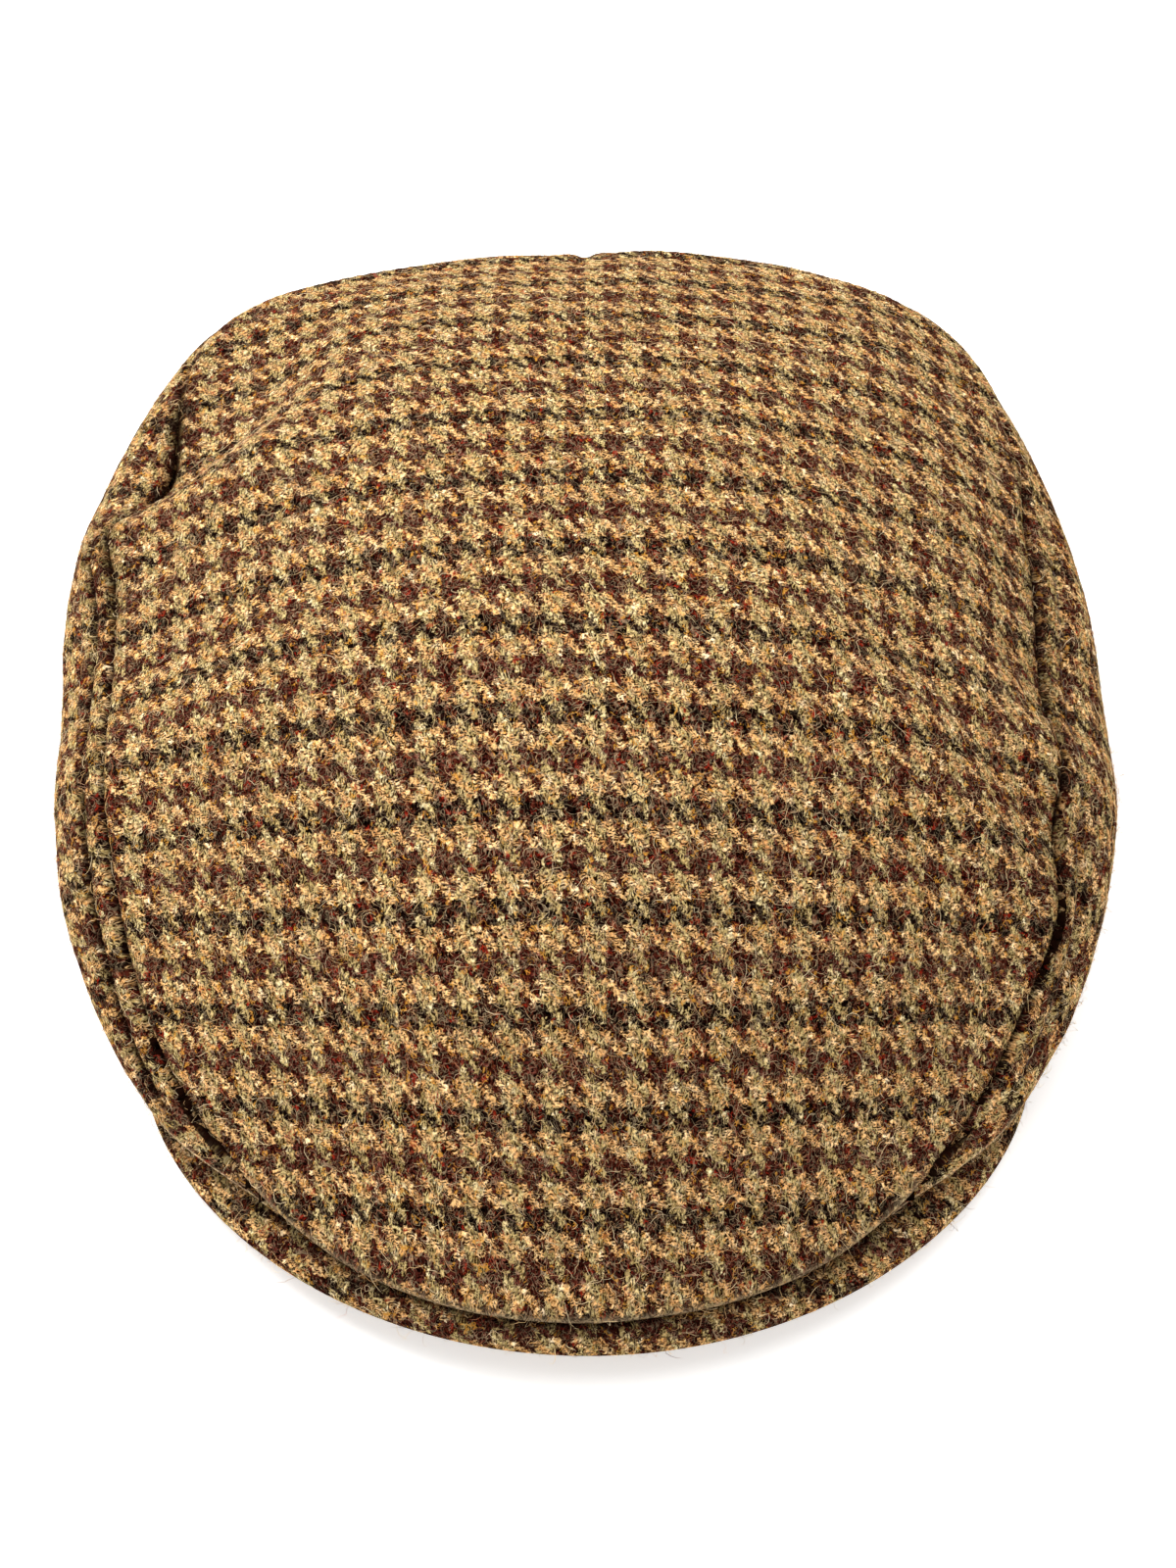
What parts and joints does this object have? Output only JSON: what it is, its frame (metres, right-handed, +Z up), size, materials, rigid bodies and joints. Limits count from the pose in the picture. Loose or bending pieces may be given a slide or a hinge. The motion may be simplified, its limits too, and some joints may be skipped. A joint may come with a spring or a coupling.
{
  "type": "flat cap",
  "caption": "Soft tweed flat cap: a one-piece crown sewn to two side panels over a short stiff peak, open below for the head.",
  "frame": {"origin": "on the table, under the middle of the cap's bounding box", "axes": "+Z up, +Y from the peak to the back of the cap, so the peak points to -Y, and +X to the wearer's left"},
  "size_m": [0.2322, 0.2748, 0.089],
  "materials": {
    "tweed": "brown and tan woollen houndstooth, fuzzy and matt"
  },
  "bodies": {
    "root": {"crown_top": "tweed", "side_left": "tweed", "side_right": "tweed", "peak": "tweed"}
  },
  "joints": []
}
